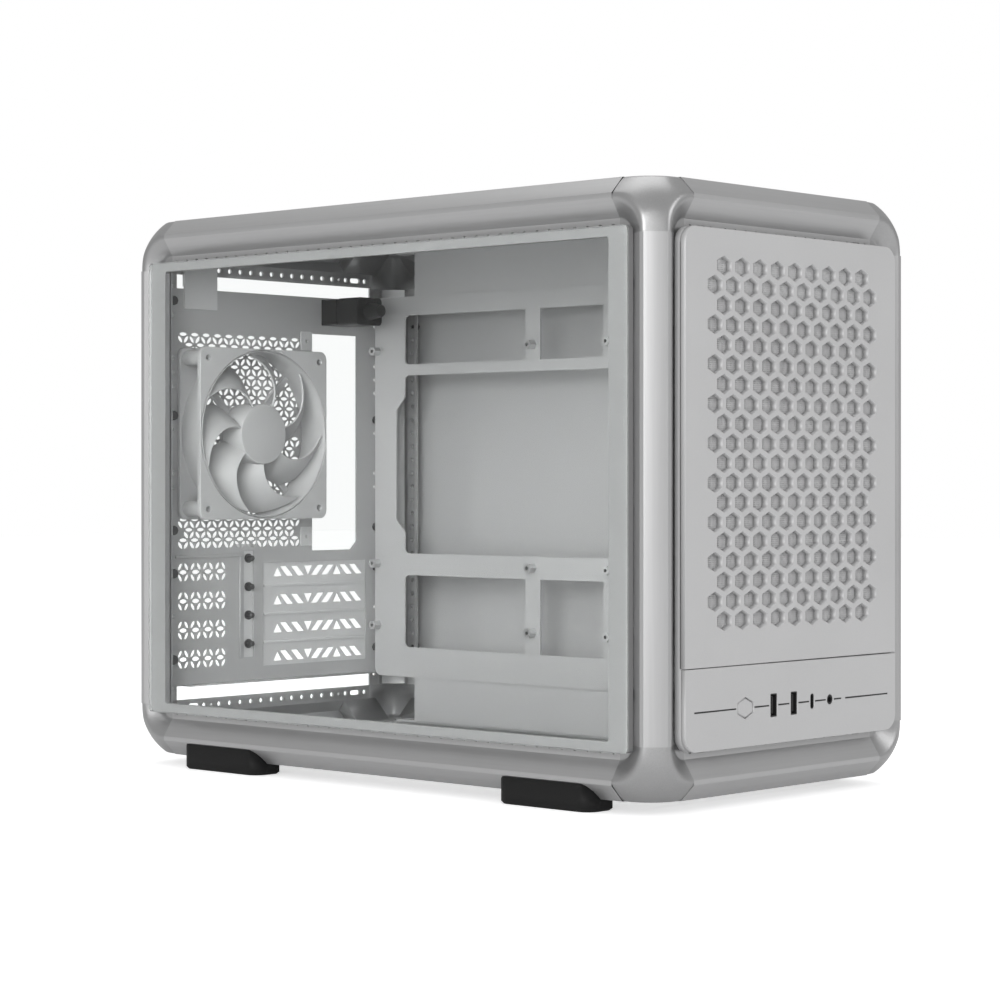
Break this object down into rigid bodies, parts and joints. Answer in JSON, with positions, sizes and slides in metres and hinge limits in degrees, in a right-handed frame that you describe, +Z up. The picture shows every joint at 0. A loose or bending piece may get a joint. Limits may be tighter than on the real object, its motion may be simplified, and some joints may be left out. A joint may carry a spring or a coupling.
{
  "type": "modular computer case",
  "caption": "Free-standing small computer case: a frame of folded-section aluminium beams and cast corners with a hex-grille front, glass side, vented rear and rear fan.",
  "frame": {"origin": "on the floor under the middle of the case's bounding box", "axes": "+X to the right seen from the front, the front panel faces -Y, +Z is up"},
  "size_m": [0.263, 0.4716, 0.3735],
  "materials": {
    "frame_aluminium": "satin anodised",
    "cast_corner": "satin blasted",
    "foot_rubber": "matt",
    "panel_paint": "satin",
    "glass": "clear",
    "filter_mesh": "fine mesh",
    "dark_plastic": "matt",
    "circuit_board": "satin",
    "plated_steel": "plated",
    "fan_plastic": "matt",
    "dark_steel": "matt",
    "screw_steel": "plated",
    "sheet_steel": "satin"
  },
  "bodies": {
    "chassis": {"audio_jack": "dark_plastic", "beam_front_bottom": "frame_aluminium", "beam_front_top": "frame_aluminium", "beam_left_bottom": "frame_aluminium", "beam_left_top": "frame_aluminium", "beam_rear_bottom": "frame_aluminium", "beam_rear_top": "frame_aluminium", "beam_right_bottom": "frame_aluminium", "beam_right_top": "frame_aluminium", "bottom_filter": "filter_mesh", "bottom_rails": "sheet_steel", "button_guide": "dark_plastic", "corner_left_front_bottom": "cast_corner", "corner_left_front_top": "cast_corner", "corner_left_rear_bottom": "cast_corner", "corner_left_rear_top": "cast_corner", "corner_right_front_bottom": "cast_corner", "corner_right_front_top": "cast_corner", "corner_right_rear_bottom": "cast_corner", "corner_right_rear_top": "cast_corner", "cross_rail_lower": "dark_steel", "cross_rail_upper": "dark_steel", "fan_frame": "fan_plastic", "fan_screws": "screw_steel", "foot_left_front": "foot_rubber", "foot_left_rear": "foot_rubber", "foot_right_front": "foot_rubber", "foot_right_rear": "foot_rubber", "front_inner_plate": "sheet_steel", "front_mesh": "filter_mesh", "front_panel": "panel_paint", "left_glass": "glass", "left_glass_frame": "panel_paint", "motherboard_tray": "sheet_steel", "panel_studs": "screw_steel", "port_board": "circuit_board", "post_left_front": "frame_aluminium", "post_left_rear": "frame_aluminium", "post_right_front": "frame_aluminium", "post_right_rear": "frame_aluminium", "power_inlet": "dark_plastic", "power_plug": "dark_plastic", "psu_bracket": "dark_steel", "rear_panel": "sheet_steel", "rear_screws": "screw_steel", "rear_top_bracket": "sheet_steel", "right_panel": "panel_paint", "slot_channel": "sheet_steel", "slot_covers": "sheet_steel", "slot_thumb_screws": "screw_steel", "standoffs": "plated_steel", "top_filter": "filter_mesh", "top_panel": "panel_paint", "top_rails": "sheet_steel", "tray_lower_bracket": "sheet_steel", "tray_upper_bracket": "sheet_steel", "usb_ports": "plated_steel"},
    "power_button": {"power_button": "dark_plastic"},
    "fan_rotor": {"fan_rotor": "fan_plastic"}
  },
  "joints": [
    {"name": "fan_spin", "type": "hinge", "parent": "chassis", "child": "fan_rotor", "pos_m": [-0.035, 0.21315, 0.2275], "axis": [0, 1, 0], "continuous": true},
    {"name": "power_press", "type": "slide", "parent": "chassis", "child": "power_button", "axis": [0, 1, 0], "range_m": [0, 0.0012], "stiffness_N_per_m": 600, "springref_m": -0.001}
  ]
}
